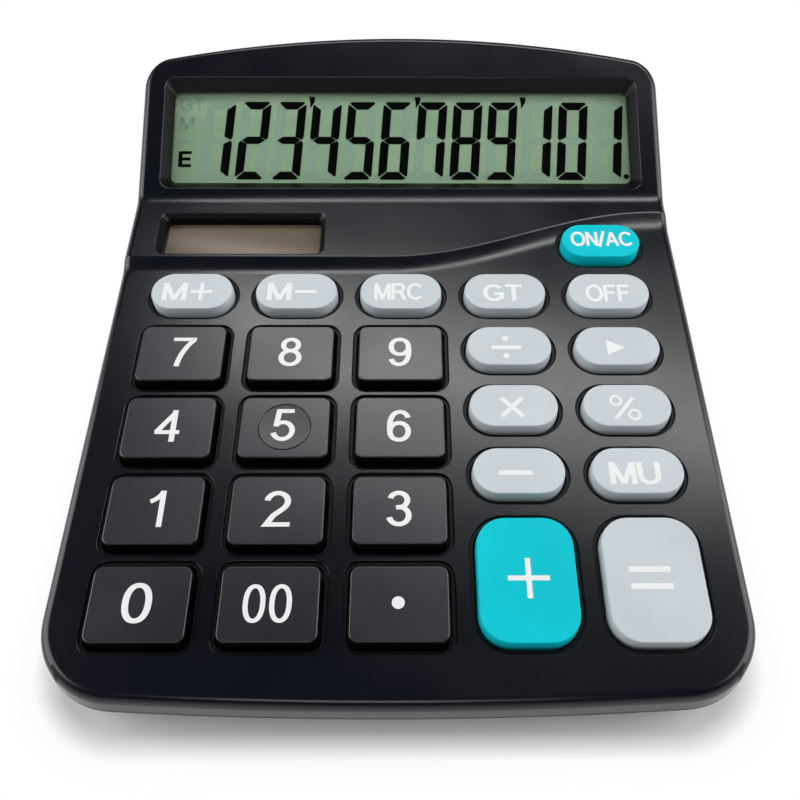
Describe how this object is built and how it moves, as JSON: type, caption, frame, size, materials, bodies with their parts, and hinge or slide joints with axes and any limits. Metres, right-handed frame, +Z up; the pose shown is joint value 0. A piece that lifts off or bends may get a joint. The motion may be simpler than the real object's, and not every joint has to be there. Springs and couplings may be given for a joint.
{
  "type": "desk calculator",
  "caption": "Wedge-shaped desk calculator with a tilted display, solar cell, sprung keys in wells and a sliding battery door.",
  "frame": {"origin": "centre of the footprint, on the surface that the feet stand on", "axes": "+X to the user's right, +Y from the user towards the display, +Z up"},
  "size_m": [0.118, 0.145, 0.0405],
  "materials": {
    "case_plastic": "fine spark-textured black moulding with a faint blue cast",
    "number_key": "black keycap, fine matt top and smooth sides",
    "grey_key": "light cool grey keycap, satin",
    "teal_key": "teal keycap, satin",
    "clear_window": "clear acrylic pane, polished",
    "display_glass": "pale green reflective display glass",
    "ribbon_film": "amber film",
    "solar_glass": "dark brown thin-film cell",
    "lead_insulation": "PVC insulation",
    "silicone": "matt silicone",
    "board_laminate": "solder-masked laminate",
    "epoxy": "black epoxy drop",
    "capacitor_sleeve": "shrink sleeve",
    "steel": "zinc-plated screws",
    "plated_contact": "nickel-plated spring steel",
    "cell_jacket": "printed jacket, plain",
    "foot_rubber": "soft black rubber"
  },
  "bodies": {
    "case": {"front_case": "case_plastic", "rear_case": "case_plastic", "display_window": "clear_window", "lcd_panel": "display_glass", "lcd_ribbon": "ribbon_film", "solar_cell": "solar_glass", "solar_leads": "lead_insulation", "keypad_mat": "silicone", "main_board": "board_laminate", "controller_chip": "epoxy", "capacitor": "capacitor_sleeve", "board_screws": "steel", "battery_cell": "cell_jacket", "battery_spring": "plated_contact", "battery_plate": "plated_contact", "battery_leads": "lead_insulation", "case_screws": "steel", "front_left_foot": "foot_rubber", "front_right_foot": "foot_rubber", "rear_left_foot": "foot_rubber", "rear_right_foot": "foot_rubber"},
    "key_on_ac": {"key_on_ac": "teal_key"},
    "key_m_plus": {"key_m_plus": "grey_key"},
    "key_m_minus": {"key_m_minus": "grey_key"},
    "key_mrc": {"key_mrc": "grey_key"},
    "key_gt": {"key_gt": "grey_key"},
    "key_off": {"key_off": "grey_key"},
    "key_7": {"key_7": "number_key"},
    "key_8": {"key_8": "number_key"},
    "key_9": {"key_9": "number_key"},
    "key_divide": {"key_divide": "grey_key"},
    "key_backspace": {"key_backspace": "grey_key"},
    "key_4": {"key_4": "number_key"},
    "key_5": {"key_5": "number_key"},
    "key_6": {"key_6": "number_key"},
    "key_multiply": {"key_multiply": "grey_key"},
    "key_percent": {"key_percent": "grey_key"},
    "key_1": {"key_1": "number_key"},
    "key_2": {"key_2": "number_key"},
    "key_3": {"key_3": "number_key"},
    "key_minus": {"key_minus": "grey_key"},
    "key_mu": {"key_mu": "grey_key"},
    "key_0": {"key_0": "number_key"},
    "key_00": {"key_00": "number_key"},
    "key_point": {"key_point": "number_key"},
    "key_plus": {"key_plus": "teal_key"},
    "key_equals": {"key_equals": "grey_key"},
    "battery_door": {"battery_door": "case_plastic"}
  },
  "joints": [
    {"name": "key_on_ac_press", "type": "slide", "parent": "case", "child": "key_on_ac", "axis": [0, 0.0958, -0.9954], "range_m": [0, 0.0015], "stiffness_N_per_m": 400, "deforming": ["keypad_mat"]},
    {"name": "key_m_plus_press", "type": "slide", "parent": "case", "child": "key_m_plus", "axis": [0, 0.0958, -0.9954], "range_m": [0, 0.0015], "stiffness_N_per_m": 400, "deforming": ["keypad_mat"]},
    {"name": "key_m_minus_press", "type": "slide", "parent": "case", "child": "key_m_minus", "axis": [0, 0.0958, -0.9954], "range_m": [0, 0.0015], "stiffness_N_per_m": 400, "deforming": ["keypad_mat"]},
    {"name": "key_mrc_press", "type": "slide", "parent": "case", "child": "key_mrc", "axis": [0, 0.0958, -0.9954], "range_m": [0, 0.0015], "stiffness_N_per_m": 400, "deforming": ["keypad_mat"]},
    {"name": "key_gt_press", "type": "slide", "parent": "case", "child": "key_gt", "axis": [0, 0.0958, -0.9954], "range_m": [0, 0.0015], "stiffness_N_per_m": 400, "deforming": ["keypad_mat"]},
    {"name": "key_off_press", "type": "slide", "parent": "case", "child": "key_off", "axis": [0, 0.0958, -0.9954], "range_m": [0, 0.0015], "stiffness_N_per_m": 400, "deforming": ["keypad_mat"]},
    {"name": "key_7_press", "type": "slide", "parent": "case", "child": "key_7", "axis": [0, 0.0958, -0.9954], "range_m": [0, 0.0015], "stiffness_N_per_m": 400, "deforming": ["keypad_mat"]},
    {"name": "key_8_press", "type": "slide", "parent": "case", "child": "key_8", "axis": [0, 0.0958, -0.9954], "range_m": [0, 0.0015], "stiffness_N_per_m": 400, "deforming": ["keypad_mat"]},
    {"name": "key_9_press", "type": "slide", "parent": "case", "child": "key_9", "axis": [0, 0.0958, -0.9954], "range_m": [0, 0.0015], "stiffness_N_per_m": 400, "deforming": ["keypad_mat"]},
    {"name": "key_divide_press", "type": "slide", "parent": "case", "child": "key_divide", "axis": [0, 0.0958, -0.9954], "range_m": [0, 0.0015], "stiffness_N_per_m": 400, "deforming": ["keypad_mat"]},
    {"name": "key_backspace_press", "type": "slide", "parent": "case", "child": "key_backspace", "axis": [0, 0.0958, -0.9954], "range_m": [0, 0.0015], "stiffness_N_per_m": 400, "deforming": ["keypad_mat"]},
    {"name": "key_4_press", "type": "slide", "parent": "case", "child": "key_4", "axis": [0, 0.0958, -0.9954], "range_m": [0, 0.0015], "stiffness_N_per_m": 400, "deforming": ["keypad_mat"]},
    {"name": "key_5_press", "type": "slide", "parent": "case", "child": "key_5", "axis": [0, 0.0958, -0.9954], "range_m": [0, 0.0015], "stiffness_N_per_m": 400, "deforming": ["keypad_mat"]},
    {"name": "key_6_press", "type": "slide", "parent": "case", "child": "key_6", "axis": [0, 0.0958, -0.9954], "range_m": [0, 0.0015], "stiffness_N_per_m": 400, "deforming": ["keypad_mat"]},
    {"name": "key_multiply_press", "type": "slide", "parent": "case", "child": "key_multiply", "axis": [0, 0.0958, -0.9954], "range_m": [0, 0.0015], "stiffness_N_per_m": 400, "deforming": ["keypad_mat"]},
    {"name": "key_percent_press", "type": "slide", "parent": "case", "child": "key_percent", "axis": [0, 0.0958, -0.9954], "range_m": [0, 0.0015], "stiffness_N_per_m": 400, "deforming": ["keypad_mat"]},
    {"name": "key_1_press", "type": "slide", "parent": "case", "child": "key_1", "axis": [0, 0.0958, -0.9954], "range_m": [0, 0.0015], "stiffness_N_per_m": 400, "deforming": ["keypad_mat"]},
    {"name": "key_2_press", "type": "slide", "parent": "case", "child": "key_2", "axis": [0, 0.0958, -0.9954], "range_m": [0, 0.0015], "stiffness_N_per_m": 400, "deforming": ["keypad_mat"]},
    {"name": "key_3_press", "type": "slide", "parent": "case", "child": "key_3", "axis": [0, 0.0958, -0.9954], "range_m": [0, 0.0015], "stiffness_N_per_m": 400, "deforming": ["keypad_mat"]},
    {"name": "key_minus_press", "type": "slide", "parent": "case", "child": "key_minus", "axis": [0, 0.0958, -0.9954], "range_m": [0, 0.0015], "stiffness_N_per_m": 400, "deforming": ["keypad_mat"]},
    {"name": "key_mu_press", "type": "slide", "parent": "case", "child": "key_mu", "axis": [0, 0.0958, -0.9954], "range_m": [0, 0.0015], "stiffness_N_per_m": 400, "deforming": ["keypad_mat"]},
    {"name": "key_0_press", "type": "slide", "parent": "case", "child": "key_0", "axis": [0, 0.0958, -0.9954], "range_m": [0, 0.0015], "stiffness_N_per_m": 400, "deforming": ["keypad_mat"]},
    {"name": "key_00_press", "type": "slide", "parent": "case", "child": "key_00", "axis": [0, 0.0958, -0.9954], "range_m": [0, 0.0015], "stiffness_N_per_m": 400, "deforming": ["keypad_mat"]},
    {"name": "key_point_press", "type": "slide", "parent": "case", "child": "key_point", "axis": [0, 0.0958, -0.9954], "range_m": [0, 0.0015], "stiffness_N_per_m": 400, "deforming": ["keypad_mat"]},
    {"name": "key_plus_press", "type": "slide", "parent": "case", "child": "key_plus", "axis": [0, 0.0958, -0.9954], "range_m": [0, 0.0015], "stiffness_N_per_m": 400, "deforming": ["keypad_mat"]},
    {"name": "key_equals_press", "type": "slide", "parent": "case", "child": "key_equals", "axis": [0, 0.0958, -0.9954], "range_m": [0, 0.0015], "stiffness_N_per_m": 400, "deforming": ["keypad_mat"]},
    {"name": "battery_door_slide", "type": "slide", "parent": "case", "child": "battery_door", "axis": [0, 1, 0], "range_m": [0, 0.014]}
  ]
}
